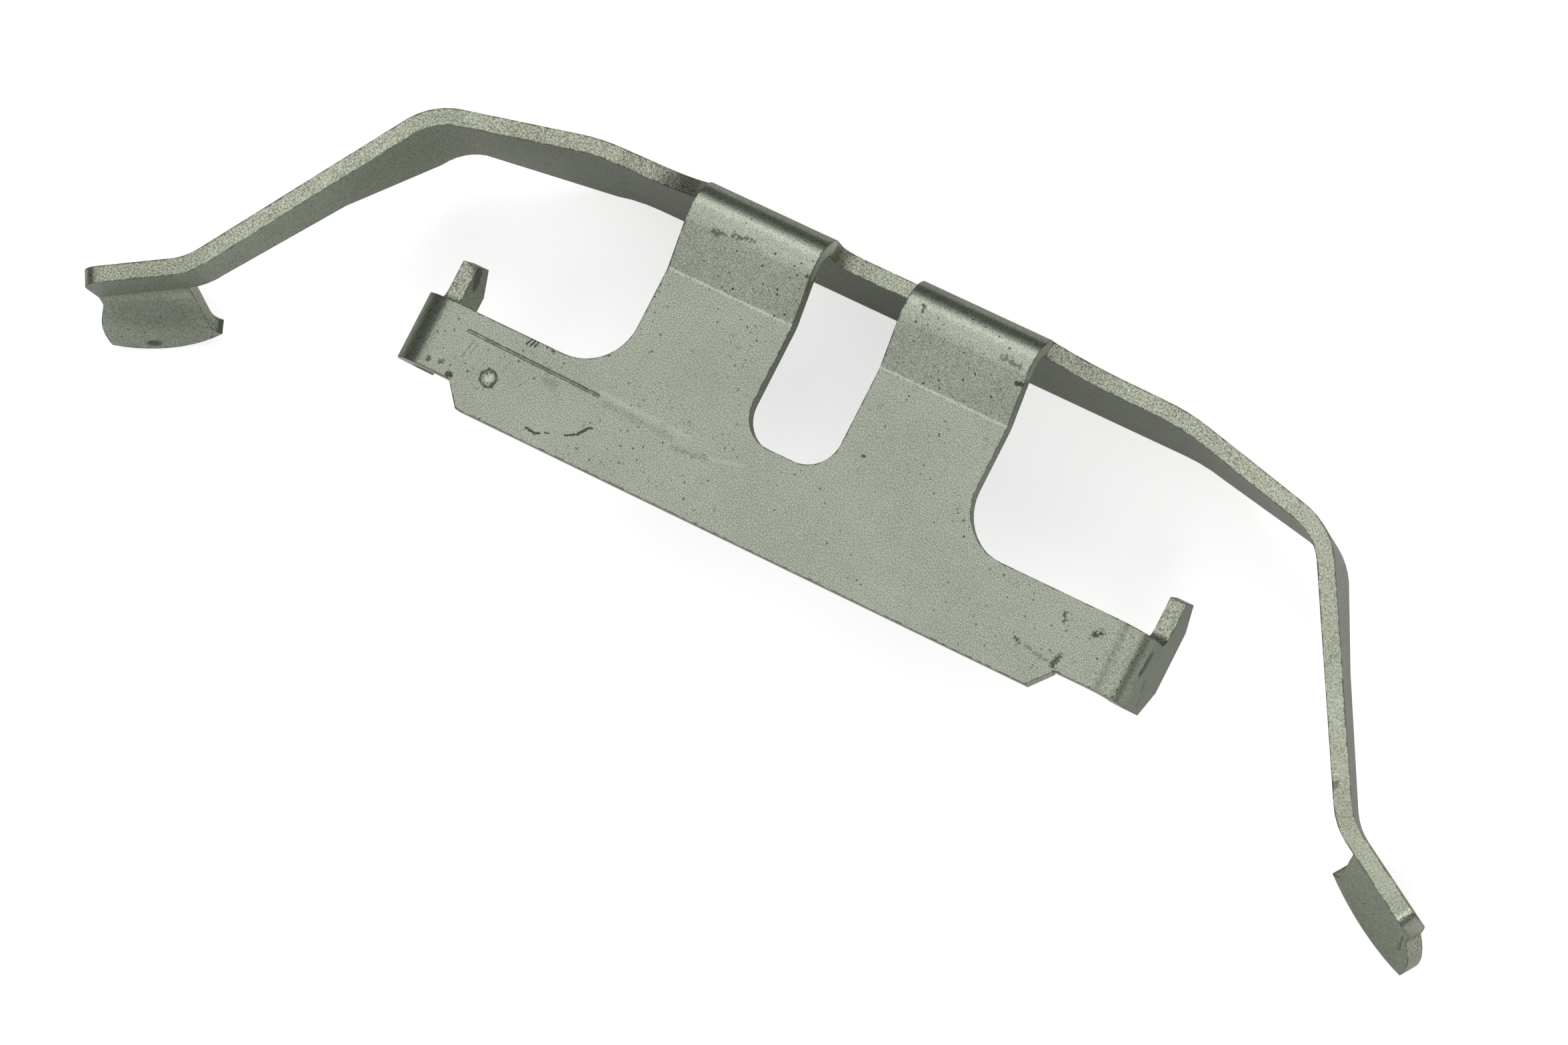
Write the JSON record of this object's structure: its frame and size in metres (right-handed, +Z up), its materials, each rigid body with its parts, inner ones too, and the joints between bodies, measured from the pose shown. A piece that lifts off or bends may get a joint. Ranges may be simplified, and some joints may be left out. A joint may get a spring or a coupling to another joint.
{
  "type": "brake pad retaining clip",
  "caption": "Folded spring steel clip that holds disc brake pads down in a caliper: a flat plate with end flanges and a long bow on legs, ending in lobed feet.",
  "frame": {"origin": "middle of the clip's footprint, on the surface that it lies on, front face up", "axes": "+X along the plate, towards the right flange as seen from the front; +Y from the plate's lower edge towards the bow, level with the surface; +Z up, away from the surface"},
  "size_m": [0.1724, 0.046, 0.0298],
  "materials": {
    "steel": "satin grey zinc-flake coating"
  },
  "bodies": {
    "root": {"clip": "steel"}
  },
  "joints": []
}
